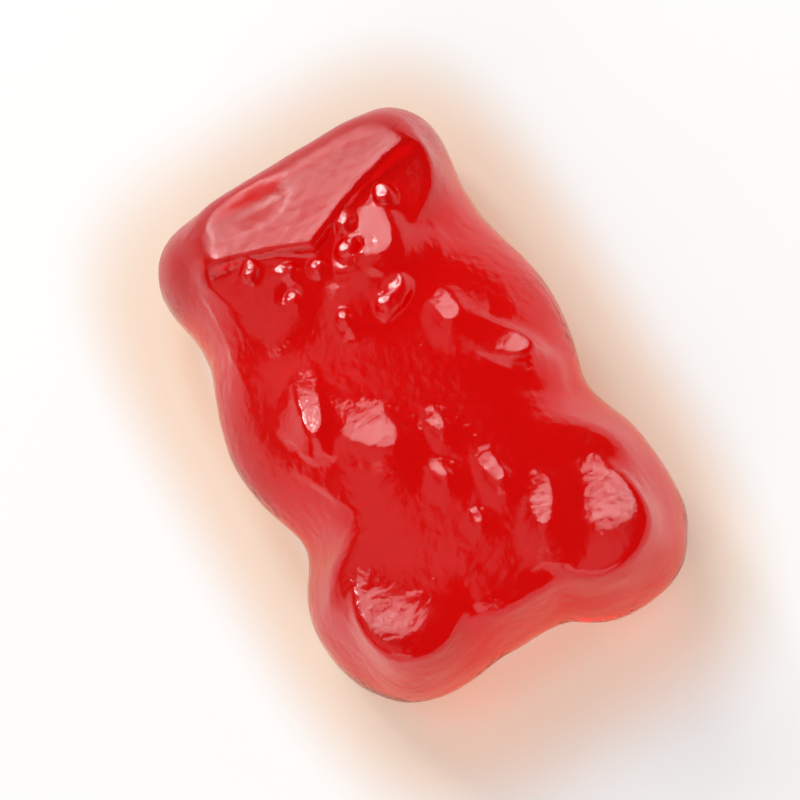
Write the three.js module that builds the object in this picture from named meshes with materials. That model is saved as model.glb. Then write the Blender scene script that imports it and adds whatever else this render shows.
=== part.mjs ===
// A moulded gummy bear: one solid piece of jelly, lying on its flat back with its face up.
// Millimetres, +Z up. The head points to +Y and the bear's front faces +Z.
// Left and right are as seen from in front, so left is -X.
// The skin is the zero level of a distance worked out from rounded blocks, bumps and cuts.
import * as THREE from 'three';
import { mergeVertices } from 'three/addons/utils/BufferGeometryUtils.js';

// ---------------------------------------------------------------- driving dimensions
// Places are [x, y, z] in the mould's own frame: x across, y from feet to head, z up from the back.
// `blend` is the width over which a shape flows into what it meets, all angles are in degrees.

const WIDEST_LEVEL = 2.4;      // height at which the outline is widest; the walls draw in above it
const WALL_EASING = 0.8;       // how softly the walls start to draw in, mm squared
const BACK_ROUNDING = 1.6;     // how far the rim of the flat back is rounded

// Blocks: half width and half length at the widest level, and a front face that leans along y.
// `draft` draws in the side walls, and `endDrafts` the end walls, from the foot end to the head end.
// `shear` leans a block towards +x with height, and `crown` lowers its front towards the sides.
const HEAD = {
  middle: [0.2, 6.85], half: [6.2, 3.95], front: 6.8, lean: -0.23, draft: 0.29,
  endDrafts: [0.34, 0.34], corner: 2.8, edge: 0.8, flare: 0.05, shear: 0.12, blend: 1,
};
const TRUNK = {
  middle: [0.05, -1.6], half: [6.3, 9.15], front: 6.3, lean: -0.01,
  draft: 0.54, endDrafts: [0.05, 0.05], corner: 4.4, edge: 1.7, crown: 0.01, blend: 0.7,
};
const LEGS = [
  {
    middle: [-4.0, -6.85], half: [3.65, 4.25], front: 5.82,
    draft: 0.42, endDrafts: [0.02, 0.85], corner: 4.1, edge: 0.7, turn: -3, blend: 0.7,
  },
  {
    middle: [3.6, -7.35], half: [3.8, 4.7], front: 5.7,
    draft: 0.42, endDrafts: [0.02, 0.85], corner: 4.0, edge: 0.7, turn: 3, blend: 0.7,
  },
];
const HIPS = {
  middle: [0, -8.6], half: [3.3, 2.35], front: 6.2,
  draft: 0.1, endDrafts: [0, 0.5], corner: 2.5, edge: 0.8, blend: 0.4,
};

// Each foot is an upright block cut by two planes: one slopes up from the leg towards the toes, the
// other slopes up outwards. A plane is given by a point on it, the azimuth it faces, measured from
// +Y towards +X, and its tilt from level.
const UPRIGHT = { front: 6.9, draft: 0.12, endDrafts: [0, 0], corner: 2.2, edge: 0.8 };
const FEET = [
  {
    upright: { ...UPRIGHT, middle: [-4.0, -8.9], half: [2.35, 2.15] },
    slope: { place: [-4.8, -8.0, 6.15], azimuth: 24, tilt: 17 },
    crest: { place: [-2.7, -8.8, 6.25], azimuth: 85, tilt: 13.5 },
    blend: 0.6,
  },
  {
    upright: { ...UPRIGHT, middle: [3.8, -9.75], half: [2.45, 2.2] },
    slope: { place: [4.7, -8.9, 6.15], azimuth: -12, tilt: 17 },
    crest: { place: [2.4, -9.7, 6.25], azimuth: -85, tilt: 13.5 },
    blend: 0.6,
  },
];
const FOOT_EDGE = 0.3;

// The face is cut back to a floor below a V-shaped brow.
const BROW = { apex: 4.85, slope: 0.55, tipApex: 5.85, tipSlope: 0.2, wall: 0.35, floor: 6.35 };
const BROW_ROUNDING = 0.6;
const BROW_BLEND = 0.25;
const MOUTH = { from: [0, 1.75, 7.0], to: [1.2, 1.75, 7.0], radius: 0.12, blend: 0.25 };

// Rounded lumps, given by their middle. `square` above 2 makes a lump boxier.
const EARS = [-1, 1].map((side) => (
  { middle: [side * 4.65 + 0.15, 8.1, 2.8], size: [1.25, 1.4, 2.2], blend: 1.4 }));
const SHOULDERS = [
  { middle: [-4.1, 0.6, 2.6], size: [2.8, 3.8, 2.6], blend: 1.6 },
  { middle: [4.1, 0.4, 2.6], size: [2.8, 3.9, 2.6], blend: 1.8 },
];
const EYE_SOCKET = { middle: [-1.72, 4.25, 6.7], size: [0.42, 0.4, 0.32], blend: 0.2 };
const CROWN_DENT = { middle: [-1.2, 8.45, 7.0], size: [1.0, 0.45, 0.5], blend: 1 };

// Mounds with a flat top, given by the middle of the top, its half width and half length, and the
// depth of the mound, whose sides spread by `spread` for each millimetre of depth. A top tips back
// towards the head, unless its own `tip` says otherwise.
const TOP_TIP = -16;
const TOP_EDGE = 0.28;         // rounding of a top's rim, as a share of its half width
const SPREAD = 1.4;
const CHEEKS = [
  { top: [-2.5, 4.3, 6.6], size: [1.2, 1.4, 0.8], turn: 10, roll: -8, tip: 2, square: 2.5, blend: 0.5 },
  { top: [2.25, 4.95, 6.78], size: [0.98, 1.7, 1.4], turn: -6, square: 2.6, spread: 0.8, blend: 0.3 },
];
const EYE = { top: [-1.72, 4.1, 6.68], size: [0.26, 0.26, 0.5], tip: -19, roll: -9, spread: 0.4, blend: 0.1 };
const MUZZLE = { top: [0.9, 2.6, 6.65], size: [1.3, 0.8, 0.7], tip: 4, square: 2.4, blend: 0.6 };
const SHOULDER_TOPS = [
  {
    top: [-3.25, -0.05, 6.45], size: [0.46, 1.35, 0.8],
    turn: -14, square: 2.3, spread: 1.0, blend: 0.4,
  },
  { top: [3.2, 0.6, 6.45], size: [0.5, 0.8, 0.8], square: 2.4, spread: 1.1, blend: 0.35 },
];
const PAWS = [
  {
    top: [-1.8, -2.0, 6.57], size: [0.9, 1.6, 1.4],
    turn: 29, roll: 3, square: 2.2, spread: 1.2, blend: 0.35,
  },
  {
    top: [4.45, -1.8, 6.2], size: [0.6, 1.1, 2.2],
    turn: 45, roll: 2, square: 2.2, spread: 0.15, blend: 0.8,
  },
];
const RIGHT_SHIN = { top: [2.5, -8.1, 6.5], size: [0.46, 1.15, 0.8], turn: -25, square: 2.2, blend: 0.4 };
const BELLY_BUMPS = [
  { top: [0.57, -3.2, 6.48], size: [0.3, 0.6, 0.6], turn: 5, blend: 0.2 },
  { top: [-0.3, -4.8, 6.48], size: [0.24, 0.66, 0.6], turn: 14, blend: 0.2 },
  { top: [1.5, -5.95, 6.5], size: [0.3, 0.76, 0.6], turn: 8, blend: 0.2 },
];

// The hand-poured surface is a little uneven: waves of this height and length.
const UNEVENNESS = { height: 0.03, length: 5.5, waves: 7, spread: 0.3 };
const GOLDEN_ANGLE = Math.PI * (3 - Math.sqrt(5));

// The skin is traced by rays that leave a flat plate with round ends, set inside the body.
const PLATE = { radius: 4.0, low: -6.0, high: 5.8, level: 3.0 };
const COLUMNS = 124;
const ROWS = { front: 15, fan: 14, under: 6, back: 4 };
const RAY_LENGTH = 12;
const SHORTEST_RAY = 0.2;
const TRACING_STEPS = 90;
const TRACING_STRIDE = 0.8;
const FLOOR_SNAP = 1e-3;
const MERGE_DISTANCE = 1e-3;

// ---------------------------------------------------------------- blends of distances
// Distances are in millimetres and negative inside.

function joined(a, b, blend) {
  const overlap = Math.max(blend - Math.abs(a - b), 0) / blend;
  return Math.min(a, b) - overlap * overlap * blend / 4;
}

const shared = (a, b, blend) => -joined(-a, -b, blend);
const without = (a, b, blend) => -joined(-a, b, blend);

// ---------------------------------------------------------------- shapes
// Each shape is a function from a point to its distance.

// A block with drafted walls: a wall draws in by its draft for each millimetre above the widest
// level. The end walls' draft grows evenly along y from the foot end's to the head end's.
function block({
  middle, half, front, lean = 0, draft, endDrafts, corner, edge,
  flare = 0, shear = 0, crown = 0, turn = 0,
}) {
  const toOwn = new THREE.Matrix4().makeRotationZ(THREE.MathUtils.degToRad(turn))
    .setPosition(middle[0], middle[1], 0).invert();
  const sideScale = 1 / Math.hypot(1, draft);
  const frontScale = 1 / Math.hypot(1, lean);
  return (point) => {
    const own = point.clone().applyMatrix4(toOwn);
    const above = own.z - WIDEST_LEVEL;
    const climbed = 0.5 * (above + Math.sqrt(above * above + WALL_EASING));
    const across = Math.hypot(own.x - shear * climbed, 0.1);
    const sideWall = (across - half[0] - flare * own.y + draft * climbed) * sideScale;
    const towardsHead = THREE.MathUtils.clamp(0.5 + 0.5 * own.y / half[1], 0, 1);
    const endDraft = THREE.MathUtils.lerp(...endDrafts, towardsHead);
    const endWall = (Math.hypot(own.y, 0.1) - half[1] + endDraft * climbed) / Math.hypot(1, endDraft);
    const face = (own.z - front - lean * own.y + crown * own.x ** 2) * frontScale;
    return shared(shared(sideWall, endWall, corner), face, edge);
  };
}

// The matrix out of a lump's own axes: turned about z, then rolled about y and tipped about x.
function lumpAxes({ turn = 0, roll = 0, tip = 0 }) {
  const about = (axis, degrees) => new THREE.Matrix4()
    .makeRotationAxis(axis, THREE.MathUtils.degToRad(degrees));
  return about(new THREE.Vector3(1, 0, 0), tip)
    .multiply(about(new THREE.Vector3(0, 1, 0), roll))
    .multiply(about(new THREE.Vector3(0, 0, 1), turn));
}

// An ellipsoid whose sections are superellipses with the exponent `square`.
function lump(shape) {
  const { middle, size, square = 2 } = shape;
  const toOwn = lumpAxes(shape).setPosition(...middle).invert();
  return (point) => {
    const own = point.clone().applyMatrix4(toOwn).toArray();
    const ratios = own.map((value, axis) => Math.abs(value / size[axis]) + 1e-6);
    const reach = ratios.reduce((sum, ratio) => sum + ratio ** square, 0) ** (1 / square);
    const slope = Math.hypot(...ratios.map((ratio, axis) => ratio ** (square - 1) / size[axis]));
    return (reach - 1) * reach ** (square - 1) / slope;
  };
}

// The distance above a plane through a place, whose normal leans by `tilt` towards `azimuth`.
function levelAbove({ place, azimuth, tilt }) {
  const normal = new THREE.Vector3(0, 0, 1)
    .applyAxisAngle(new THREE.Vector3(1, 0, 0), -THREE.MathUtils.degToRad(tilt))
    .applyAxisAngle(new THREE.Vector3(0, 0, 1), -THREE.MathUtils.degToRad(azimuth));
  const plane = new THREE.Plane()
    .setFromNormalAndCoplanarPoint(normal, new THREE.Vector3(...place));
  return (point) => plane.distanceToPoint(point);
}

// A mound with a flat top and a flat foot. Its sections are superellipses with the exponent
// `square` that widen with depth.
function mound(shape) {
  const { top, size, square, spread, ...lean } = {
    square: 2, spread: SPREAD, tip: TOP_TIP, ...shape,
  };
  const toOwn = lumpAxes(lean).setPosition(...top).invert();
  const wallScale = 1 / Math.hypot(1, spread);
  return (point) => {
    const own = point.clone().applyMatrix4(toOwn);
    const depth = THREE.MathUtils.clamp(-own.z, 0, size[2]);
    const halves = [size[0] + spread * depth, size[1] + spread * depth];
    const ratios = [own.x, own.y].map((value, axis) => Math.abs(value) / halves[axis] + 1e-6);
    const reach = ratios.reduce((sum, ratio) => sum + ratio ** square, 0) ** (1 / square);
    const slope = Math.hypot(...ratios.map((ratio, axis) => ratio ** (square - 1) / halves[axis]));
    const wall = (reach - 1) * reach ** (square - 1) / slope * wallScale;
    return shared(shared(wall, own.z, TOP_EDGE * size[0]), -own.z - size[2], TOP_EDGE);
  };
}

// The foot's block, cut by its two planes.
function foot({ upright, slope, crest }) {
  const uncut = block(upright);
  const planes = [levelAbove(slope), levelAbove(crest)];
  return (point) => planes.reduce(
    (total, plane) => shared(total, plane(point), FOOT_EDGE), uncut(point));
}

// A round bar between two points.
function bar({ from, to, radius }) {
  const line = new THREE.Line3(new THREE.Vector3(...from), new THREE.Vector3(...to));
  const nearest = new THREE.Vector3();
  return (point) => {
    line.closestPointToPoint(point, true, nearest);
    return point.distanceTo(nearest) - radius;
  };
}

// The space in front of the face: below both arms of the V and above the face's floor.
function browSpace() {
  const planeBelow = (apex, slope) => {
    const scale = 1 / Math.hypot(slope, 1, BROW.wall);
    return (x, y, z) => (y - apex - slope * x - BROW.wall * (z - 6)) * scale;
  };
  const inner = planeBelow(BROW.apex, BROW.slope);
  const outer = planeBelow(BROW.tipApex, BROW.tipSlope);
  return (point) => {
    const across = Math.hypot(point.x, 0.05);
    const below = shared(
      inner(across, point.y, point.z), outer(across, point.y, point.z), BROW_ROUNDING);
    return shared(below, BROW.floor - point.z, BROW_ROUNDING);
  };
}

// ---------------------------------------------------------------- the bear's distance

const add = (make) => (shape) => ({ distance: make(shape), blend: shape.blend, mix: joined });
const cut = (make) => (shape) => ({ distance: make(shape), blend: shape.blend, mix: without });

const head = [
  add(block)(HEAD),
  { distance: browSpace(), blend: BROW_BLEND, mix: without },
  ...EARS.map(add(lump)),
  cut(lump)(CROWN_DENT),
];

const face = [
  ...CHEEKS.map(add(mound)),
  cut(lump)(EYE_SOCKET),
  add(mound)(EYE),
  add(mound)(MUZZLE),
  cut(bar)(MOUTH),
];

const body = [
  add(block)(TRUNK),
  ...SHOULDERS.map(add(lump)),
  ...[...LEGS, HIPS].map(add(block)),
  ...FEET.map(add(foot)),
  ...[RIGHT_SHIN, ...SHOULDER_TOPS, ...PAWS, ...BELLY_BUMPS].map(add(mound)),
];

const FEATURES = [...head, ...face, ...body];

// Waves run along directions spread evenly over a sphere.
const WAVES = Array.from({ length: UNEVENNESS.waves }, (_, index) => {
  const level = 1 - 2 * (index + 0.5) / UNEVENNESS.waves;
  const angle = GOLDEN_ANGLE * (index + UNEVENNESS.spread);
  const round = Math.sqrt(1 - level * level);
  const perMillimetre = 2 * Math.PI / UNEVENNESS.length * (1 + 0.13 * index / UNEVENNESS.waves);
  return {
    run: new THREE.Vector3(round * Math.cos(angle), round * Math.sin(angle), level)
      .multiplyScalar(perMillimetre),
    phase: 1.7 * index + UNEVENNESS.spread,
  };
});

function unevenness(point) {
  const sum = WAVES.reduce((total, { run, phase }) => total + Math.sin(point.dot(run) + phase), 0);
  return sum * UNEVENNESS.height / Math.sqrt(UNEVENNESS.waves);
}

function bearDistance(point) {
  const shape = FEATURES.reduce(
    (total, { distance, blend, mix }) => mix(total, distance(point), blend), RAY_LENGTH);
  return shared(shape + unevenness(point), -point.z, BACK_ROUNDING);
}

// ---------------------------------------------------------------- tracing the skin

// The plate's rim as a closed path: two half circles and straight sides, from the head end round.
function plateRim() {
  const { radius, low, high } = PLATE;
  const rim = new THREE.Path();
  rim.moveTo(0, high + radius);
  rim.absarc(0, high, radius, Math.PI / 2, Math.PI, false);
  rim.lineTo(-radius, low);
  rim.absarc(0, low, radius, Math.PI, 2 * Math.PI, false);
  rim.lineTo(radius, high);
  rim.absarc(0, high, radius, 0, Math.PI / 2, false);
  return rim;
}

// One row of rays: how far out on the plate they start, and how steeply they rise.
function rayRows() {
  const rows = [];
  const addRows = (count, place) => {
    for (let step = 0; step < count; step += 1) {
      rows.push(place(step / count));
    }
  };
  addRows(ROWS.front, (share) => ({ reach: share, rise: Math.PI / 2 }));
  addRows(ROWS.fan, (share) => ({ reach: 1, rise: Math.PI / 2 * (1 - share) }));
  addRows(ROWS.under, (share) => ({ reach: 1, rise: -Math.PI / 2 * share }));
  addRows(ROWS.back, (share) => ({ reach: 1 - share, rise: -Math.PI / 2 }));
  rows.push({ reach: 0, rise: -Math.PI / 2 });
  return rows;
}

// Walks in along a ray from outside until it stands on the skin.
function skinPoint(start, direction) {
  const point = new THREE.Vector3();
  let reached = RAY_LENGTH;
  for (let step = 0; step < TRACING_STEPS; step += 1) {
    point.copy(start).addScaledVector(direction, reached);
    reached = Math.max(reached - TRACING_STRIDE * bearDistance(point), SHORTEST_RAY);
  }
  point.copy(start).addScaledVector(direction, reached);
  if (point.z < FLOOR_SNAP) {
    point.z = 0;
  }
  return point;
}

// Drops the triangles that have closed up where the sheet's ends meet.
function withoutClosedTriangles(geometry) {
  const kept = [];
  const corners = geometry.index.array;
  for (let first = 0; first < corners.length; first += 3) {
    const [a, b, c] = corners.slice(first, first + 3);
    if (a !== b && b !== c && c !== a) {
      kept.push(a, b, c);
    }
  }
  geometry.setIndex(kept);
  return geometry;
}

// A flat sheet of quads wrapped round the body: its columns follow the plate's rim, and its rows
// run from the middle of the front, over the sides, to the middle of the back.
function bearGeometry() {
  const rows = rayRows();
  const rim = plateRim().getSpacedPoints(COLUMNS);
  const sheet = new THREE.PlaneGeometry(1, 1, COLUMNS, rows.length - 1);
  const places = sheet.attributes.position;
  rows.forEach(({ reach, rise }, row) => {
    for (let column = 0; column <= COLUMNS; column += 1) {
      const edge = rim[column % COLUMNS];
      const along = THREE.MathUtils.clamp(edge.y, PLATE.low, PLATE.high);
      const spine = new THREE.Vector3(0, along, PLATE.level);
      const outward = new THREE.Vector3(edge.x, edge.y - spine.y, 0).normalize();
      const start = spine.clone().addScaledVector(outward, PLATE.radius * reach);
      const direction = outward.clone().multiplyScalar(Math.cos(rise)).setZ(Math.sin(rise));
      places.setXYZ(row * (COLUMNS + 1) + column, ...skinPoint(start, direction));
    }
  });
  sheet.deleteAttribute('normal');
  sheet.deleteAttribute('uv');
  const geometry = withoutClosedTriangles(mergeVertices(sheet, MERGE_DISTANCE));
  geometry.computeBoundingBox();
  const middle = geometry.boundingBox.getCenter(new THREE.Vector3());
  geometry.translate(-middle.x, -middle.y, 0);
  geometry.computeVertexNormals();
  return geometry;
}

// ---------------------------------------------------------------- the finished piece

const jelly = new THREE.MeshStandardMaterial({ color: '#c8141a', roughness: 0.2, metalness: 0 });

const bear = new THREE.Mesh(bearGeometry(), jelly);
bear.name = 'gummy_bear';

const group = new THREE.Group();
group.add(bear);

export default group;
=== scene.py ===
import math

import bmesh
import bpy
import numpy as np
from bpy.props import FloatProperty, FloatVectorProperty, IntProperty, PointerProperty
from mathutils import Matrix, Vector


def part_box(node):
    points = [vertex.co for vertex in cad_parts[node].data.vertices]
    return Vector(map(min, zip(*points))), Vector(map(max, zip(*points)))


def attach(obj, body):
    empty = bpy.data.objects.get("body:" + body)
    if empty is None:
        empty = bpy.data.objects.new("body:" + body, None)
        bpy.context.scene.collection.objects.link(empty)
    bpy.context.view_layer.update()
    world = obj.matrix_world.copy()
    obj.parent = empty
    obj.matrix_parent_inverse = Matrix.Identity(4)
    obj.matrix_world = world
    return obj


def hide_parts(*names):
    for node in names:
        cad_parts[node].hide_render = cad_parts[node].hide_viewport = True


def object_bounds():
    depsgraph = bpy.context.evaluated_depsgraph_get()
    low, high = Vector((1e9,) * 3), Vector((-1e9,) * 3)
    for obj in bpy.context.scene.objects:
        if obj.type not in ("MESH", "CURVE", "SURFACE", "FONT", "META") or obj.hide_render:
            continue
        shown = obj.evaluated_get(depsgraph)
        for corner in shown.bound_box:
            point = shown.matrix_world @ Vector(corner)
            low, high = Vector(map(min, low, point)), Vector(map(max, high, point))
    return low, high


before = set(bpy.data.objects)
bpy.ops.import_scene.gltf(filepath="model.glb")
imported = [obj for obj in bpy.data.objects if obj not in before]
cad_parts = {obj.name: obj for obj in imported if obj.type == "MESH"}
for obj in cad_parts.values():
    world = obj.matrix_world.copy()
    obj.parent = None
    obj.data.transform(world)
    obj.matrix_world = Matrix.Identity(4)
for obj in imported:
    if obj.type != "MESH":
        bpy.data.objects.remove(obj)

bl_info = {
    "name": "Gummy Bear",
    "version": (1, 0, 0),
    "blender": (4, 5, 0),
    "location": "View3D > Sidebar > Gummy",
    "description": "Builds a red jelly bear with its moulded face, paws and feet, and a studio stage",
    "category": "Object",
}

MILLIMETRE = 0.001
BEAR_NODE = "gummy_bear"
CAD_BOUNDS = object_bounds()

# ---------------------------------------------------------------- the mould
# Millimetres in the mould's own frame: x across, y from feet to head, z up from the flat back.
# "blend" is the width over which a shape flows into what it meets. Angles are in degrees.

WIDEST_LEVEL = 2.4
WALL_EASING = 0.8
CENTRE_EASING = 0.1

# Blocks, given by their middle, their half sizes at the widest level, and the height of the front.
HEAD = dict(middle=(0.2, 6.85), half=(6.2, 3.95), front=6.8, lean=-0.23,
            draft=0.29, end_drafts=(0.34, 0.34), corner=2.8, edge=0.8, flare=0.05, shear=0.12,
            blend=1.0)
TRUNK = dict(middle=(0.05, -1.6), half=(6.3, 9.15), front=6.3, lean=-0.01,
             draft=0.54, end_drafts=(0.05, 0.05), corner=4.4, edge=1.7, crown=0.01, blend=0.7)
LEGS = (
    dict(middle=(-4.0, -6.85), half=(3.65, 4.25), front=5.82, lean=0,
         draft=0.42, end_drafts=(0.02, 0.85), corner=4.1, edge=0.7, turn=-3, blend=0.7),
    dict(middle=(3.6, -7.35), half=(3.8, 4.7), front=5.7, lean=0,
         draft=0.42, end_drafts=(0.02, 0.85), corner=4.0, edge=0.7, turn=3, blend=0.7),
)
HIPS = dict(middle=(0, -8.6), half=(3.3, 2.35), front=6.2, lean=0,
            draft=0.1, end_drafts=(0, 0.5), corner=2.5, edge=0.8, blend=0.4)

BROW = dict(apex=4.85, slope=0.55, tip_apex=5.85, tip_slope=0.2, wall=0.35, level=6, floor=6.35)
BROW_ROUNDING = 0.6
BROW_TIP_EASING = 0.05
BROW_BLEND = 0.25
MOUTH = dict(start=(0.0, 1.75, 7.0), end=(1.2, 1.75, 7.0), radius=0.12, blend=0.25)

# Rounded lumps, given by their middle and half sizes. Some are joined on, and some are cut away.
EARS = tuple(dict(middle=(side * 4.65 + 0.15, 8.1, 2.8), size=(1.25, 1.4, 2.2), blend=1.4)
             for side in (-1, 1))
SHOULDERS = (
    dict(middle=(-4.1, 0.6, 2.6), size=(2.8, 3.8, 2.6), blend=1.6),
    dict(middle=(4.1, 0.4, 2.6), size=(2.8, 3.9, 2.6), blend=1.8),
)
EYE_SOCKET = dict(middle=(-1.72, 4.25, 6.7), size=(0.42, 0.4, 0.32), blend=0.2)
EYE_PIT = dict(middle=(1.4, 4.4, 6.65), size=(0.42, 0.36, 0.4), blend=0.2)
CROWN_DENT = dict(middle=(-1.2, 8.45, 7.0), size=(1.0, 0.45, 0.5), blend=1.0)

# Mounds with a flat top, given by the middle of the top, its half width and half length, and the
# depth of the mound. A top tips back towards the head, unless its own tip says otherwise, and a
# bead's top leans so that it mirrors the hot spot.
TOP_TIP = -16
TOP_EDGE = 0.28
BEAD_LEAN = dict(tip=-19, roll=-9, spread=0.4)
MOUND_SPREAD = 1.4
CHEEKS = (
    dict(top=(-2.5, 4.3, 6.6), size=(1.2, 1.4, 0.8), turn=10, roll=-8, tip=2, square=2.5, blend=0.5),
    dict(top=(2.25, 4.95, 6.78), size=(0.98, 1.7, 1.4), turn=-6, square=2.6, spread=0.8, blend=0.3),
)
EYE = dict(top=(-1.72, 4.1, 6.68), size=(0.26, 0.26, 0.5), **BEAD_LEAN, blend=0.1)
MUZZLE = dict(top=(0.9, 2.6, 6.65), size=(1.3, 0.8, 0.7), tip=4, square=2.4, blend=0.6)
SMALL_FACE_BUMPS = (
    dict(top=(-2.6, 5.95, 6.85), size=(0.34, 0.42, 0.6), turn=-25, **BEAD_LEAN, blend=0.12),
    dict(top=(-1.4, 5.15, 6.85), size=(0.42, 0.28, 0.6), turn=-25, **BEAD_LEAN, blend=0.12),
    dict(top=(-0.3, 4.65, 6.82), size=(0.32, 0.26, 0.6), turn=-10, **BEAD_LEAN, blend=0.12),
    dict(top=(1.5, 5.7, 6.9), size=(0.28, 0.36, 0.6), turn=-20, **BEAD_LEAN, blend=0.12),
    dict(top=(3.35, 5.9, 6.8), size=(0.3, 0.42, 0.6), **BEAD_LEAN, blend=0.12),
    dict(top=(1.05, 4.65, 6.82), size=(0.34, 0.26, 0.6), **BEAD_LEAN, blend=0.12),
    dict(top=(0.85, 3.95, 6.75), size=(0.2, 0.6, 0.6), turn=62, **BEAD_LEAN, blend=0.12),
    dict(top=(1.8, 3.75, 6.78), size=(0.26, 0.22, 0.6), **BEAD_LEAN, blend=0.12),
    dict(top=(1.3, 1.95, 7.0), size=(0.34, 0.3, 0.6), **BEAD_LEAN, blend=0.15),
    dict(top=(1.95, 2.3, 6.95), size=(0.4, 0.5, 0.6), turn=-35, **BEAD_LEAN, blend=0.15),
    dict(top=(-0.4, 2.3, 6.85), size=(0.2, 0.28, 0.6), **BEAD_LEAN, blend=0.15),
)
SHOULDER_TOPS = (
    dict(top=(-3.25, -0.05, 6.45), size=(0.46, 1.35, 0.8), turn=-14, square=2.3, spread=1.0, blend=0.4),
    dict(top=(3.2, 0.6, 6.45), size=(0.5, 0.8, 0.8), square=2.4, spread=1.1, blend=0.35),
)
PAWS = (
    dict(top=(-1.8, -2.0, 6.57), size=(0.9, 1.6, 1.4), turn=29, roll=3, square=2.2, spread=1.2,
         blend=0.35),
    dict(top=(4.45, -1.8, 6.2), size=(0.6, 1.1, 2.2), turn=45, roll=2, square=2.2, spread=0.15,
         blend=0.8),
)
# Each foot is an upright block cut by two planes: one slopes up from the leg towards the toes, the
# other slopes up outwards. A plane is given by a point on it, the azimuth it faces, measured from
# +Y towards +X, and its tilt from level.
FEET = (
    dict(upright=dict(middle=(-4.0, -8.9), half=(2.35, 2.15), front=6.9, lean=0,
                      draft=0.12, end_drafts=(0, 0), corner=2.2, edge=0.8),
         slope=dict(place=(-4.8, -8.0, 6.15), azimuth=24, tilt=17),
         crest=dict(place=(-2.7, -8.8, 6.25), azimuth=85, tilt=13.5)),
    dict(upright=dict(middle=(3.8, -9.75), half=(2.45, 2.2), front=6.9, lean=0,
                      draft=0.12, end_drafts=(0, 0), corner=2.2, edge=0.8),
         slope=dict(place=(4.7, -8.9, 6.15), azimuth=-12, tilt=17),
         crest=dict(place=(2.4, -9.7, 6.25), azimuth=-85, tilt=13.5)),
)
FOOT_EDGE = 0.3
FOOT_BLEND = 0.6
RIGHT_SHIN = dict(top=(2.5, -8.1, 6.5), size=(0.46, 1.15, 0.8), turn=-25, square=2.2, blend=0.4)
BELLY_BUMPS = (
    dict(top=(0.57, -3.2, 6.48), size=(0.3, 0.6, 0.6), turn=5, blend=0.2),
    dict(top=(-0.3, -4.8, 6.48), size=(0.24, 0.66, 0.6), turn=14, blend=0.2),
    dict(top=(1.5, -5.95, 6.5), size=(0.3, 0.76, 0.6), turn=8, blend=0.2),
    dict(top=(0.05, -7.4, 6.5), size=(0.16, 0.28, 0.5), blend=0.2),
)

# The skin's grain: noise scale for each metre, strength and height in millimetres. It is fainter and
# the skin is duller above the brow, a V in the finished bear's own millimetres. Its gloss also
# comes and goes in patches, between two shares of the roughness.
GRAINS = ((1400, 0.38, 0.08), (3000, 0.55, 0.06))
NOISE_DETAIL = 2
GLOSS_PATCHES = dict(scale=900, low=0.7, high=1.4)
BROW_LINE = dict(apex=6.1, slope=0.45, width=0.5)
FOREHEAD_SMOOTHING = 0.6
FOREHEAD_DULLNESS = 0.17

# The skin's slow waves, ripples and pebbling: a wave's length in millimetres, how many waves cross
# there, and where their directions start on the sphere. Each wave is a little shorter than the last.
UNEVEN_WAVES = dict(length=5.5, count=7, start=0.3)
RIPPLE_WAVES = dict(length=1.9, count=9, start=2.1)
PEBBLE_WAVES = dict(length=0.55, count=13, start=4.7)
WAVE_SHORTENING = 0.13
WAVE_SHIFT = 1.7
GOLDEN_ANGLE = math.pi * (3 - math.sqrt(5))

# The skin is traced by rays that leave a flat plate with round ends, set inside the body.
PLATE = dict(radius=4.0, low=-6.0, high=5.8, level=3.0)
RAY_LENGTH = 12.0
SHORTEST_RAY = 0.2
TRACING_STEPS = 70
TRACING_STRIDE = 0.8
FLOOR_SNAP = 1e-3
NEXT_TO_NOTHING = 1e-4
NEVER_ZERO = 1e-6
UNDER_ROWS = 20
BACK_ROWS = 6
DOUBLES_DISTANCE = 2e-6

# The floor's half size and its height over the bear's back are in metres. Beside the bear a painted
# shadow, warm like light that has passed through jelly, goes into the floor's colour and its glow. Its
# colours go outwards from the bear: each has a place, as a share of the reach times a rounded rectangle
# whose half width and half length are given in millimetres, and a colour.
FLOOR_HALF = 0.5
FLOOR_LEVEL = 0.02 * MILLIMETRE
PAPER_ROUGHNESS = 0.8
PAPER_GLOSS = 0.2
PAINTED_SHADOW_HALF = (7.1, 11.1)
PAINTED_SHADOW_REACH = 2.0
PAINTED_SHADOW_TINTS = ((0.38, (1, 1, 1)), (0.47, (0.93, 0.66, 0.5)), (0.56, (0.94, 0.74, 0.6)),
               (0.78, (1, 1, 1)))

# The surroundings' brightness by height on a unit sphere, and the sheen's middle and the angles
# from it where the sheen starts to fade and ends, in degrees.
LOW_BAND = dict(height=0.12, brightness=1)
OVERHEAD = dict(height=0.32, brightness=0.08)
SHEEN = dict(azimuth=300, elevation=56, fades=15, ends=33)

# Each light's name, the setting that gives its brightness, its share of that, and its place and half
# sizes as angles seen from the bear.
LIGHT_DISTANCE = 0.6
LIGHTS = (
    dict(name="panel", setting="window", share=0.9, azimuth=7, elevation=35, half_wide=14, half_high=17),
    dict(name="bar_0", setting="window", share=1.6, azimuth=7, elevation=34, half_wide=8, half_high=1.3),
    dict(name="bar_1", setting="window", share=1.6, azimuth=7, elevation=39.5, half_wide=8, half_high=1.3),
    dict(name="hot_spot", setting="hot_spot", share=1, azimuth=348, elevation=30, half_wide=5, half_high=4),
    dict(name="side", setting="side", share=1, azimuth=232, elevation=35, half_wide=20, half_high=20),
)


# ---------------------------------------------------------------- settings


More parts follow.
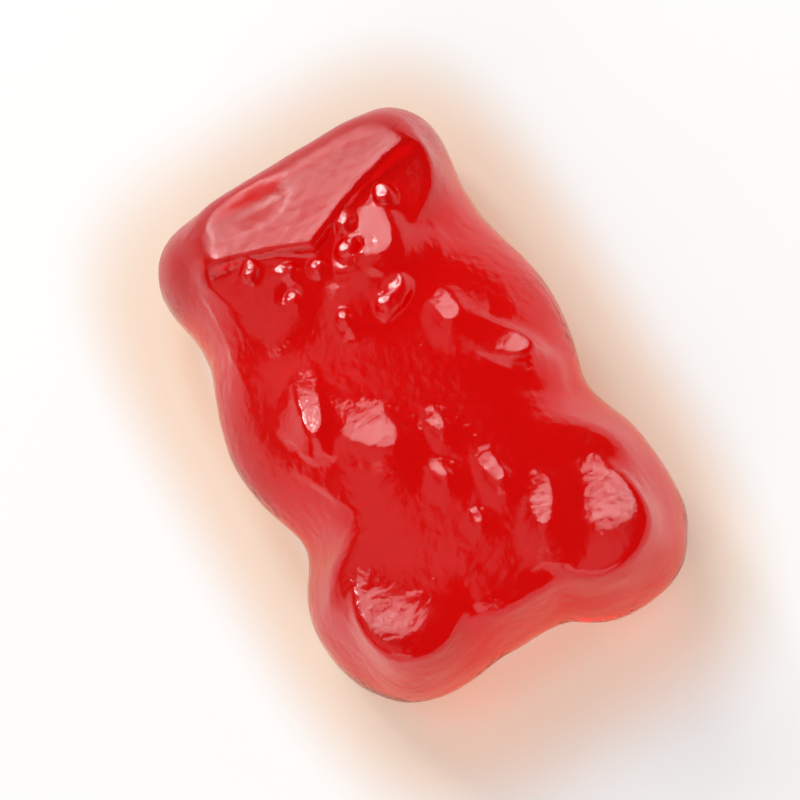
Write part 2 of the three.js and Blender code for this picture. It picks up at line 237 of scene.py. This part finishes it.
class JellyShapeSettings(bpy.types.PropertyGroup):
    """Sizes of the bear's skin."""

    back_rounding: FloatProperty(
        name="Back rounding", description="Rounding of the rim of the flat back, in millimetres",
        default=1.6, min=0.2, max=3.0)
    unevenness: FloatProperty(
        name="Unevenness", description="Height of the slow waves left by pouring, in millimetres",
        default=0.03, min=0.0, max=0.3)
    ripple: FloatProperty(
        name="Ripple", description="Height of the ripples left by the starch mould, in millimetres",
        default=0.009, min=0.0, max=0.1)
    pebbling: FloatProperty(
        name="Pebbling", description="Height of the fine pebbled grain, in millimetres",
        default=0.003, min=0.0, max=0.05)
    columns: IntProperty(
        name="Columns", description="Faces round the bear's outline", default=600, min=60, max=700)
    front_rows: IntProperty(
        name="Front rows", description="Faces from the middle of the front to its edge",
        default=58, min=8, max=80)
    side_rows: IntProperty(
        name="Side rows", description="Faces from the edge of the front to the widest level",
        default=56, min=8, max=80)


class JellyFinishSettings(bpy.types.PropertyGroup):
    """Colour and gloss of the jelly."""

    tint: FloatVectorProperty(
        name="Tint", description="Colour that a thin layer of jelly lets through",
        subtype="COLOR", size=3, min=0.0, max=1.0, default=(0.9885, 0.56, 0.02))
    depth: FloatProperty(
        name="Depth", description="How strongly the jelly colours light, for each metre",
        default=2600.0, min=0.0, max=5000.0)
    roughness: FloatProperty(
        name="Roughness", description="Roughness of the oiled skin", default=0.13, min=0.0, max=1.0)
    refraction: FloatProperty(
        name="Refraction", description="Refractive index of set gelatine", default=1.45, min=1.0, max=2.0)


class StageSettings(bpy.types.PropertyGroup):
    """Floor, light and camera."""

    floor_colour: FloatVectorProperty(
        name="Floor", description="Colour of the pale floor", subtype="COLOR", size=3,
        min=0.0, max=1.0, default=(0.74, 0.735, 0.72))
    azimuth: FloatProperty(
        name="Azimuth", description="Camera's turn about the bear", subtype="ANGLE", default=0.0)
    elevation: FloatProperty(
        name="Elevation", description="Camera's height above the floor", subtype="ANGLE",
        default=math.radians(70))
    roll: FloatProperty(
        name="Roll", description="How far the bear leans to the left in the picture",
        subtype="ANGLE", default=math.radians(31))
    lens: FloatProperty(
        name="Lens", description="Focal length in millimetres", default=200.0, min=20.0, max=200.0)
    fill: FloatProperty(
        name="Fill", description="Share of the picture's width that the bear's length takes",
        default=0.74, min=0.2, max=1.0)
    window: FloatProperty(
        name="Window", description="Brightness of the panel that the bumps mirror",
        default=4.0, min=0.0, max=20.0)
    # The floor paper glows by itself, as painted light. No lamp lies under it.
    glow: FloatProperty(
        name="Glow", description="Brightness of the light that comes up through the floor",
        default=0.5, min=0.0, max=2.0)
    hot_spot: FloatProperty(
        name="Hot spot", description="Brightness of the small spot beside the panel", default=28.0,
        min=0.0, max=200.0)
    side: FloatProperty(
        name="Side light", description="Brightness of the light beside the feet", default=1.5,
        min=0.0, max=20.0)
    sheen: FloatProperty(
        name="Sheen", description="Brightness of the soft light high on one side", default=0.6,
        min=0.0, max=20.0)
    sky: FloatProperty(
        name="Sky", description="Brightness of the white surroundings", default=1.0, min=0.0, max=5.0)


# ---------------------------------------------------------------- blends of distances


def joined(a, b, blend):
    """The smaller of two distances, lowered where they are nearly equal: overlap squared times a
    quarter of the blend, where overlap falls from 1 to 0 as the distances part by the blend."""
    overlap = np.maximum(blend - np.abs(a - b), 0) / blend
    return np.minimum(a, b) - overlap * overlap * blend / 4


def shared(a, b, blend):
    """The larger of two distances, raised where they are nearly equal: the space both enclose."""
    return -joined(-a, -b, blend)


def without(a, b, blend):
    """The first shape with the second cut away, and the cut's rim rounded."""
    return -joined(-a, b, blend)


# ---------------------------------------------------------------- shapes
# Each takes points of shape (..., 3) and gives the distance to the shape, negative inside.


def turn_matrix(turn=0, roll=0, tip=0):
    """The matrix out of a lump's own axes: turned about z, rolled about y, then tipped about x."""
    about_x = Matrix.Rotation(math.radians(tip), 3, "X")
    about_y = Matrix.Rotation(math.radians(roll), 3, "Y")
    about_z = Matrix.Rotation(math.radians(turn), 3, "Z")
    return np.array(about_x @ about_y @ about_z)


def block(points, middle, half, front, lean, draft, end_drafts, corner, edge,
          flare=0, shear=0, crown=0, turn=0):
    """A block with drafted walls. A wall's distance is |x| or |y| minus its half size, plus its
    draft times the height above the widest level; the front is z = front + lean * y - crown * x^2.
    The end walls' draft grows evenly along y from the foot end's to the head end's, and the shear
    leans the block towards +x with height."""
    right, ahead, up = np.moveaxis(points - np.array((*middle, 0)), -1, 0)
    angle = math.radians(turn)
    x = math.cos(angle) * right + math.sin(angle) * ahead
    y = math.cos(angle) * ahead - math.sin(angle) * right
    above = up - WIDEST_LEVEL
    climbed = 0.5 * (above + np.sqrt(above * above + WALL_EASING))
    across = np.hypot(x - shear * climbed, CENTRE_EASING)
    side_wall = (across - half[0] - flare * y + draft * climbed) / math.hypot(1, draft)
    low_draft, high_draft = end_drafts
    end_draft = low_draft + (high_draft - low_draft) * np.clip(0.5 + 0.5 * y / half[1], 0, 1)
    along = np.hypot(y, CENTRE_EASING)
    end_wall = (along - half[1] + end_draft * climbed) / np.hypot(1, end_draft)
    face = (up - front - lean * y + crown * x * x) / math.hypot(1, lean)
    return shared(shared(side_wall, end_wall, corner), face, edge)


def lump(points, middle, size, turn=0, roll=0, tip=0, square=2):
    """An ellipsoid whose sections are superellipses: reach is the power mean of |own place| over
    size with the exponent `square`, and the distance is (reach - 1) over reach's slope."""
    own = (points - np.array(middle)) @ turn_matrix(turn, roll, tip)
    ratios = np.abs(own / np.array(size)) + NEVER_ZERO
    reach = (ratios ** square).sum(-1) ** (1 / square)
    slope = np.sqrt(((ratios ** (square - 1) / np.array(size)) ** 2).sum(-1))
    return (reach - 1) * reach ** (square - 1) / slope


def mound(points, top, size, turn=0, roll=0, tip=TOP_TIP, square=2, spread=MOUND_SPREAD):
    """A lump with a flat top and a flat foot. Its sections are superellipses that widen with depth,
    by the spread for each millimetre, from the half width and half length given for the top."""
    axes = turn_matrix(turn, roll, tip)
    own = (points - np.array(top)) @ axes
    depth = np.clip(-own[..., 2], 0, size[2])
    halves = np.array(size[:2]) + spread * depth[..., None]
    ratios = np.abs(own[..., :2]) / halves + NEVER_ZERO
    reach = (ratios ** square).sum(-1) ** (1 / square)
    slope = np.sqrt(((ratios ** (square - 1) / halves) ** 2).sum(-1)) * math.hypot(1, spread)
    wall = (reach - 1) * reach ** (square - 1) / slope
    return shared(shared(wall, own[..., 2], TOP_EDGE * size[0]), -own[..., 2] - size[2], TOP_EDGE)


def plane(points, place, azimuth, tilt):
    """The distance above a plane through a place, whose normal leans by the tilt to the azimuth."""
    lean, level = math.sin(math.radians(tilt)), math.radians(azimuth)
    normal = (lean * math.sin(level), lean * math.cos(level), math.cos(math.radians(tilt)))
    return (points - np.array(place)) @ np.array(normal)


def foot(points, upright, slope, crest):
    """The foot's block, cut by its two planes."""
    distance = block(points, **upright)
    for cut in (slope, crest):
        distance = shared(distance, plane(points, **cut), FOOT_EDGE)
    return distance


def bar(points, start, end, radius):
    """A round bar: the distance to the nearest point of the line, less the radius."""
    start = np.array(start, float)
    line = np.array(end, float) - start
    along = np.clip((points - start) @ line / (line @ line), 0, 1)
    gap = np.linalg.norm(points - start - along[..., None] * line, axis=-1)
    return gap - radius


def brow_space(points):
    """The space in front of the face: below both slopes of the V, y = apex + slope times |x|, and
    above the face's floor."""
    across = np.hypot(points[..., 0], BROW_TIP_EASING)
    rise = BROW["wall"] * (points[..., 2] - BROW["level"])

    def below(apex, slope):
        scale = math.sqrt(1 + slope * slope + BROW["wall"] ** 2)
        return (points[..., 1] - apex - slope * across - rise) / scale

    arms = shared(below(BROW["apex"], BROW["slope"]),
                  below(BROW["tip_apex"], BROW["tip_slope"]), BROW_ROUNDING)
    return shared(arms, BROW["floor"] - points[..., 2], BROW_ROUNDING)


# ---------------------------------------------------------------- the bear's distance


def mixed(mix, distance, make, points, shape):
    """The distance with one more shape joined on or cut away, by that shape's own blend."""
    own = {name: value for name, value in shape.items() if name != "blend"}
    return mix(distance, make(points, **own), shape["blend"])


def with_head(distance, points):
    """Joins on the head, cuts the face back below the brow, adds the ears and dents the crown."""
    distance = mixed(joined, distance, block, points, HEAD)
    distance = without(distance, brow_space(points), BROW_BLEND)
    for ear in EARS:
        distance = mixed(joined, distance, lump, points, ear)
    return mixed(without, distance, lump, points, CROWN_DENT)


def with_face(distance, points):
    """Joins on the cheeks, eye, muzzle and small bumps, and cuts the eye's socket, the pit beside
    the muzzle and the mouth."""
    for cheek in CHEEKS:
        distance = mixed(joined, distance, mound, points, cheek)
    distance = mixed(without, distance, lump, points, EYE_SOCKET)
    distance = mixed(joined, distance, mound, points, EYE)
    distance = mixed(without, distance, lump, points, EYE_PIT)
    distance = mixed(joined, distance, mound, points, MUZZLE)
    distance = mixed(without, distance, bar, points, MOUTH)
    for bump in SMALL_FACE_BUMPS:
        distance = mixed(joined, distance, mound, points, bump)
    return distance


def with_body(distance, points):
    """Joins on the trunk, shoulders, legs, hips and feet, then the mounds on them: the shin, the
    shoulders' tops, the paws and the belly's bumps."""
    distance = mixed(joined, distance, block, points, TRUNK)
    for shoulder in SHOULDERS:
        distance = mixed(joined, distance, lump, points, shoulder)
    for part in (*LEGS, HIPS):
        distance = mixed(joined, distance, block, points, part)
    for shape in FEET:
        distance = joined(distance, foot(points, **shape), FOOT_BLEND)
    for bump in (RIGHT_SHIN, *SHOULDER_TOPS, *PAWS, *BELLY_BUMPS):
        distance = mixed(joined, distance, mound, points, bump)
    return distance


def waves(points, height, length, count, start):
    """The sum of sines that run along directions spread evenly over a sphere, times the height
    and over the root of their count."""
    total = np.zeros(points.shape[:-1])
    for index in range(count):
        level = 1 - 2 * (index + 0.5) / count
        angle = GOLDEN_ANGLE * (index + start)
        outward = math.sqrt(1 - level * level)
        run = np.array((outward * math.cos(angle), outward * math.sin(angle), level))
        run *= 2 * math.pi / length * (1 + WAVE_SHORTENING * index / count)
        total += np.sin(points @ run + WAVE_SHIFT * index + start)
    return total * height / math.sqrt(count)


def bear_distance(points, sizes):
    """The distance to the whole bear: its shapes mixed in order, the skin's waves added, and the
    result kept above the floor with a rounded rim."""
    distance = np.full(points.shape[:-1], RAY_LENGTH)
    for part in (with_head, with_face, with_body):
        distance = part(distance, points)
    distance = distance + waves(points, sizes.unevenness, **UNEVEN_WAVES)
    distance = distance + waves(points, sizes.ripple, **RIPPLE_WAVES)
    distance = distance + waves(points, sizes.pebbling, **PEBBLE_WAVES)
    return shared(distance, -points[..., 2], sizes.back_rounding)


# ---------------------------------------------------------------- tracing the skin


def plate_rim(columns):
    """Points of the plate's spine and outward directions, evenly spaced round the rim from the
    head's middle: the angle grows along the round ends, and the spine's place along the sides."""
    radius, low, high = PLATE["radius"], PLATE["low"], PLATE["high"]
    quarter = math.pi / 2 * radius
    side = high - low
    run = np.arange(columns) / columns * (4 * quarter + 2 * side)
    second_side = 3 * quarter + side
    turned = (np.clip(run, 0, quarter) + np.clip(run - quarter - side, 0, 2 * quarter)
              + np.clip(run - second_side - side, 0, quarter)) / radius
    along = high - np.clip(run - quarter, 0, side) + np.clip(run - second_side, 0, side)
    angle = math.pi / 2 + turned
    spine = np.stack((np.zeros(columns), along, np.full(columns, PLATE["level"])), -1)
    outward = np.stack((np.cos(angle), np.sin(angle), np.zeros(columns)), -1)
    return spine, outward


def ray_rows(sizes):
    """How far out on the plate each row of rays starts, and how steeply it rises: straight up from
    the middle to the rim, fanned over the rim down to straight down, then back to the middle."""
    def shares(count):
        return np.arange(count) / count

    right = math.pi / 2
    reach = np.concatenate((shares(sizes.front_rows), np.ones(sizes.side_rows + UNDER_ROWS),
                            1 - shares(BACK_ROWS), (0,)))
    rise = np.concatenate((np.full(sizes.front_rows, right), right * (1 - shares(sizes.side_rows)),
                           -right * shares(UNDER_ROWS), np.full(BACK_ROWS + 1, -right)))
    return reach, rise


def skin_points(sizes):
    """The grid of places on the skin. Each ray walks in from outside by a share of the distance
    still to go, and stops once that distance is next to nothing."""
    spine, outward = plate_rim(sizes.columns)
    reach, rise = ray_rows(sizes)
    starts = spine[None] + PLATE["radius"] * reach[:, None, None] * outward[None]
    upward = np.array((0, 0, 1.0))
    rays = np.cos(rise)[:, None, None] * outward[None] + np.sin(rise)[:, None, None] * upward
    shape = starts.shape
    starts, rays = starts.reshape(-1, 3), rays.reshape(-1, 3)
    reached = np.full(len(starts), RAY_LENGTH)
    walking = np.arange(len(starts))
    for _ in range(TRACING_STEPS):
        places = starts[walking] + reached[walking, None] * rays[walking]
        to_go = bear_distance(places, sizes)
        reached[walking] = np.maximum(reached[walking] - TRACING_STRIDE * to_go, SHORTEST_RAY)
        walking = walking[np.abs(to_go) > NEXT_TO_NOTHING]
        if not len(walking):
            break
    places = starts + reached[:, None] * rays
    places[:, 2] = np.where(places[:, 2] < FLOOR_SNAP, 0, places[:, 2])
    return places.reshape(shape)


def sheet_faces(rows, columns):
    """Quads of a grid that is closed from column to column, wound to face outwards."""
    row, column = np.meshgrid(np.arange(rows - 1), np.arange(columns), indexing="ij")
    following = (column + 1) % columns
    corners = (row * columns + column, (row + 1) * columns + column,
               (row + 1) * columns + following, row * columns + following)
    return np.stack(corners, -1).reshape(-1, 4)


def centred_on_frame(places):
    """Moves the skin so that its box stands on the same middle and floor as the frame's box."""
    low, high = (np.array(corner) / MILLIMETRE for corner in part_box(BEAR_NODE))
    flat = places.reshape(-1, 3)
    middle = (flat.min(0) + flat.max(0)) / 2
    shift = (low + high) / 2 - middle
    shift[2] = low[2]
    return places + shift


def mesh_object(name, places, faces):
    """A smooth mesh object with these places in metres, its doubles merged and its poles closed."""
    mesh = bpy.data.meshes.new(name)
    mesh.from_pydata(places.reshape(-1, 3), [], faces.tolist())
    shape = bmesh.new()
    shape.from_mesh(mesh)
    bmesh.ops.remove_doubles(shape, verts=shape.verts, dist=DOUBLES_DISTANCE)
    bmesh.ops.dissolve_degenerate(shape, edges=shape.edges, dist=DOUBLES_DISTANCE / 2)
    bmesh.ops.recalc_face_normals(shape, faces=shape.faces)
    shape.to_mesh(mesh)
    shape.free()
    mesh.shade_smooth()
    piece = bpy.data.objects.new(name, mesh)
    bpy.context.scene.collection.objects.link(piece)
    return piece


# ---------------------------------------------------------------- materials


def new_material(name):
    """An empty node material and its output node."""
    material = bpy.data.materials.new(name)
    material.use_nodes = True
    nodes = material.node_tree.nodes
    nodes.clear()
    return material, nodes.new("ShaderNodeOutputMaterial")


def maths(material, operation, *values):
    """The output of a Math node fed with numbers or with other nodes' outputs."""
    node = material.node_tree.nodes.new("ShaderNodeMath")
    node.operation = operation
    for socket, value in zip(node.inputs, values):
        if isinstance(value, float):
            socket.default_value = value
        else:
            material.node_tree.links.new(value, socket)
    return node.outputs["Value"]


def jelly_material(finish):
    """Clear red jelly that colours light by the length of its way through, under an oiled skin with
    fine grain and duller patches. The forehead is satin: above y = apex + slope times |x| the grain
    fades and the roughness grows."""
    material, output = new_material("red_jelly")
    nodes, links = material.node_tree.nodes, material.node_tree.links
    place = nodes.new("ShaderNodeTexCoord").outputs["Object"]

    def grain(scale):
        noise = nodes.new("ShaderNodeTexNoise")
        noise.inputs["Scale"].default_value = scale
        noise.inputs["Detail"].default_value = NOISE_DETAIL
        links.new(place, noise.inputs["Vector"])
        return noise.outputs["Fac"]

    skin = nodes.new("ShaderNodeBsdfPrincipled")
    skin.inputs["Base Color"].default_value = (1, 1, 1, 1)
    skin.inputs["Transmission Weight"].default_value = 1.0
    skin.inputs["IOR"].default_value = finish.refraction

    parts = nodes.new("ShaderNodeSeparateXYZ")
    links.new(place, parts.inputs["Vector"])
    across = maths(material, "ABSOLUTE", parts.outputs["X"])
    brow = maths(material, "MULTIPLY_ADD", across, BROW_LINE["slope"], BROW_LINE["apex"] * MILLIMETRE)
    above_brow = nodes.new("ShaderNodeMapRange")
    above_brow.inputs["From Max"].default_value = BROW_LINE["width"] * MILLIMETRE
    links.new(maths(material, "SUBTRACT", parts.outputs["Y"], brow), above_brow.inputs["Value"])
    forehead = above_brow.outputs["Result"]

    patches = nodes.new("ShaderNodeMapRange")
    patches.inputs["To Min"].default_value = finish.roughness * GLOSS_PATCHES["low"]
    patches.inputs["To Max"].default_value = finish.roughness * GLOSS_PATCHES["high"]
    links.new(grain(GLOSS_PATCHES["scale"]), patches.inputs["Value"])
    dullness = maths(material, "MULTIPLY_ADD", forehead, FOREHEAD_DULLNESS, patches.outputs["Result"])
    links.new(dullness, skin.inputs["Roughness"])

    normal = None
    for scale, strength, height in GRAINS:
        bump = nodes.new("ShaderNodeBump")
        strength = maths(material, "MULTIPLY_ADD", forehead, -FOREHEAD_SMOOTHING * strength, strength)
        links.new(strength, bump.inputs["Strength"])
        bump.inputs["Distance"].default_value = height * MILLIMETRE
        links.new(grain(scale), bump.inputs["Height"])
        if normal:
            links.new(normal, bump.inputs["Normal"])
        normal = bump.outputs["Normal"]
    links.new(normal, skin.inputs["Normal"])

    depths = nodes.new("ShaderNodeVolumeAbsorption")
    depths.inputs["Color"].default_value = (*finish.tint, 1)
    depths.inputs["Density"].default_value = finish.depth
    links.new(skin.outputs["BSDF"], output.inputs["Surface"])
    links.new(depths.outputs["Volume"], output.inputs["Volume"])
    return material


def floor_material(colour, glow):
    """Matt pale paper that glows a little by itself, as on a light table. Beside the bear a painted
    shadow, warm like light that has passed through jelly, darkens and tints both its colour and its
    glow, by how far out a place is on a rounded rectangle: the fourth root of (x / half width)^4 +
    (y / half length)^4."""
    material, output = new_material("pale_floor")
    nodes, links = material.node_tree.nodes, material.node_tree.links

    place = nodes.new("ShaderNodeSeparateXYZ")
    links.new(nodes.new("ShaderNodeTexCoord").outputs["Object"], place.inputs["Vector"])
    powers = []
    for axis, half in zip("XY", PAINTED_SHADOW_HALF):
        share = maths(material, "DIVIDE", place.outputs[axis], half * MILLIMETRE)
        square = maths(material, "MULTIPLY", share, share)
        powers.append(maths(material, "MULTIPLY", square, square))
    reach = maths(material, "POWER", maths(material, "ADD", *powers), 0.25)
    # The ramp paints the warm shadow beside the bear: white under the bear and far out, darker and warm
    # between.
    ramp = nodes.new("ShaderNodeValToRGB")
    ramp.color_ramp.interpolation = "EASE"
    for _ in PAINTED_SHADOW_TINTS[2:]:
        ramp.color_ramp.elements.new(0.5)
    for stop, (at, tint) in zip(ramp.color_ramp.elements, PAINTED_SHADOW_TINTS):
        stop.position = at
        stop.color = (*tint, 1)
    links.new(maths(material, "DIVIDE", reach, PAINTED_SHADOW_REACH), ramp.inputs["Fac"])
    painted_shadow_paper = nodes.new("ShaderNodeVectorMath")
    painted_shadow_paper.operation = "MULTIPLY"
    painted_shadow_paper.inputs[1].default_value = colour
    links.new(ramp.outputs["Color"], painted_shadow_paper.inputs[0])
    paper = nodes.new("ShaderNodeBsdfPrincipled")
    links.new(painted_shadow_paper.outputs["Vector"], paper.inputs["Base Color"])
    paper.inputs["Roughness"].default_value = PAPER_ROUGHNESS
    paper.inputs["Specular IOR Level"].default_value = PAPER_GLOSS
    paper.inputs["Emission Strength"].default_value = glow
    links.new(ramp.outputs["Color"], paper.inputs["Emission Color"])
    links.new(paper.outputs["BSDF"], output.inputs["Surface"])
    return material


# ---------------------------------------------------------------- operators


class GUMMY_OT_bear(bpy.types.Operator):
    """Builds the bear's skin, from head to feet, and its jelly"""

    bl_idname = "gummy.bear"
    bl_label = "Jelly Bear"

    def execute(self, context):
        sizes = context.scene.jelly_shape
        places = centred_on_frame(skin_points(sizes))
        faces = sheet_faces(*places.shape[:2])
        bear = mesh_object("jelly_bear", places * MILLIMETRE, faces)
        bear.data.materials.append(jelly_material(context.scene.jelly_finish))
        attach(bear, "root")
        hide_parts(BEAR_NODE)
        return {"FINISHED"}


class GUMMY_OT_stage(bpy.types.Operator):
    """Lays the floor, hangs the lights and sets up the camera"""

    bl_idname = "gummy.stage"
    bl_label = "Studio Stage"

    def execute(self, context):
        stage = context.scene.gummy_stage
        lay_floor(stage)
        surroundings(stage)
        hang_lights(stage)
        set_camera(stage)
        context.scene.view_settings.view_transform = "Standard"
        return {"FINISHED"}


# ---------------------------------------------------------------- the stage


def frame_middle():
    """Middle of the frame's box, in metres."""
    low, high = CAD_BOUNDS
    return (low + high) / 2


def towards(azimuth, elevation):
    """A unit direction: azimuth from +Y towards +X and elevation above the floor, in radians."""
    level = math.cos(elevation)
    return Vector((math.sin(azimuth) * level, math.cos(azimuth) * level, math.sin(elevation)))


def lay_floor(stage):
    """A square of paper that the bear's sticky back sinks into by a hair."""
    signs = ((-1, -1), (1, -1), (1, 1), (-1, 1))
    corners = [(x * FLOOR_HALF, y * FLOOR_HALF, FLOOR_LEVEL) for x, y in signs]
    mesh = bpy.data.meshes.new("floor")
    mesh.from_pydata(corners, [], [(0, 1, 2, 3)])
    floor = bpy.data.objects.new("floor", mesh)
    bpy.context.scene.collection.objects.link(floor)
    mesh.materials.append(floor_material(stage.floor_colour, stage.glow))


def surroundings(stage):
    """White up to a low height, fading to near black overhead, so the top mirrors little, with a
    soft dim sheen high on one side, by the cosine of the angle from the sheen's middle."""
    world = bpy.data.worlds.new("surroundings")
    bpy.context.scene.world = world
    world.use_nodes = True
    nodes, links = world.node_tree.nodes, world.node_tree.links
    place = nodes.new("ShaderNodeTexCoord")
    parts = nodes.new("ShaderNodeSeparateXYZ")
    ramp = nodes.new("ShaderNodeValToRGB")
    for stop, band in zip(ramp.color_ramp.elements, (LOW_BAND, OVERHEAD)):
        stop.position = band["height"]
        stop.color = [band["brightness"]] * 3 + [1]
    facing = nodes.new("ShaderNodeVectorMath")
    facing.operation = "DOT_PRODUCT"
    facing.inputs[1].default_value = towards(math.radians(SHEEN["azimuth"]),
                                             math.radians(SHEEN["elevation"]))
    sheen = nodes.new("ShaderNodeMapRange")
    sheen.interpolation_type = "SMOOTHSTEP"
    sheen.inputs["From Min"].default_value = math.cos(math.radians(SHEEN["ends"]))
    sheen.inputs["From Max"].default_value = math.cos(math.radians(SHEEN["fades"]))
    sheen.inputs["To Max"].default_value = stage.sheen
    both = nodes.new("ShaderNodeVectorMath")
    background = nodes["Background"]
    background.inputs["Strength"].default_value = stage.sky
    links.new(place.outputs["Generated"], parts.inputs["Vector"])
    links.new(parts.outputs["Z"], ramp.inputs["Fac"])
    links.new(place.outputs["Generated"], facing.inputs[0])
    links.new(facing.outputs["Value"], sheen.inputs["Value"])
    links.new(ramp.outputs["Color"], both.inputs[0])
    links.new(sheen.outputs["Result"], both.inputs[1])
    links.new(both.outputs["Vector"], background.inputs["Color"])


def hang_light(name, brightness, azimuth, elevation, half_wide, half_high):
    """An area light of an even brightness that faces the bear from far off, with its place and its
    half sizes given as angles seen from the bear. Its power is the brightness times pi times its
    area. The camera doesn't see it."""
    direction = towards(math.radians(azimuth), math.radians(elevation))
    wide, high = (2 * LIGHT_DISTANCE * math.tan(math.radians(half)) for half in (half_wide, half_high))
    lamp = bpy.data.lights.new(name, "AREA")
    lamp.shape = "RECTANGLE"
    lamp.size = wide
    lamp.size_y = high
    lamp.energy = brightness * math.pi * wide * high
    light = bpy.data.objects.new(name, lamp)
    bpy.context.scene.collection.objects.link(light)
    light.location = frame_middle() + direction * LIGHT_DISTANCE
    light.rotation_euler = direction.to_track_quat("Z", "Y").to_euler()
    light.visible_camera = False


def hang_lights(stage):
    """Hangs the bright panel beyond the head, which every surface tipped that way mirrors, the two
    bars that streak it, the hot spot at its edge, and the dim light beside the feet."""
    for light in LIGHTS:
        brightness = light["share"] * getattr(stage, light["setting"])
        angles = {key: light[key] for key in ("azimuth", "elevation", "half_wide", "half_high")}
        hang_light(light["name"], brightness, **angles)


def set_camera(stage):
    """Looks down on the bear from its feet's side, rolled so that the head leans to the left."""
    view = towards(stage.azimuth + math.pi, stage.elevation)
    low, high = CAD_BOUNDS
    camera = bpy.data.cameras.new("camera")
    camera.lens = stage.lens
    camera.clip_start = MILLIMETRE
    width = (high.y - low.y) / stage.fill
    distance = width * camera.lens / camera.sensor_width
    holder = bpy.data.objects.new("camera", camera)
    bpy.context.scene.collection.objects.link(holder)
    turned = view.to_track_quat("Z", "Y").to_matrix().to_4x4() @ Matrix.Rotation(-stage.roll, 4, "Z")
    holder.matrix_world = Matrix.Translation(frame_middle() + view * distance) @ turned
    bpy.context.scene.camera = holder


# ---------------------------------------------------------------- panel, registration and run


class GUMMY_PT_panel(bpy.types.Panel):
    """Lists the bear's operators and settings"""

    bl_idname = "GUMMY_PT_panel"
    bl_label = "Gummy Bear"
    bl_space_type = "VIEW_3D"
    bl_region_type = "UI"
    bl_category = "Gummy"

    def draw(self, context):
        for operator in (GUMMY_OT_bear, GUMMY_OT_stage):
            self.layout.operator(operator.bl_idname)
        for name in SETTINGS:
            settings = getattr(context.scene, name)
            box = self.layout.box()
            for setting in settings.bl_rna.properties:
                if setting.identifier not in ("rna_type", "name"):
                    box.prop(settings, setting.identifier)


SETTINGS = {
    "jelly_shape": JellyShapeSettings,
    "jelly_finish": JellyFinishSettings,
    "gummy_stage": StageSettings,
}
CLASSES = (*SETTINGS.values(), GUMMY_OT_bear, GUMMY_OT_stage, GUMMY_PT_panel)


def register():
    for cls in CLASSES:
        bpy.utils.register_class(cls)
    for name, settings in SETTINGS.items():
        setattr(bpy.types.Scene, name, PointerProperty(type=settings))


def unregister():
    for name in SETTINGS:
        delattr(bpy.types.Scene, name)
    for cls in reversed(CLASSES):
        bpy.utils.unregister_class(cls)


def main():
    """Registers the add-on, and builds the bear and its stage."""
    register()
    bpy.ops.gummy.bear()
    bpy.ops.gummy.stage()


if __name__ == "__main__":
    main()
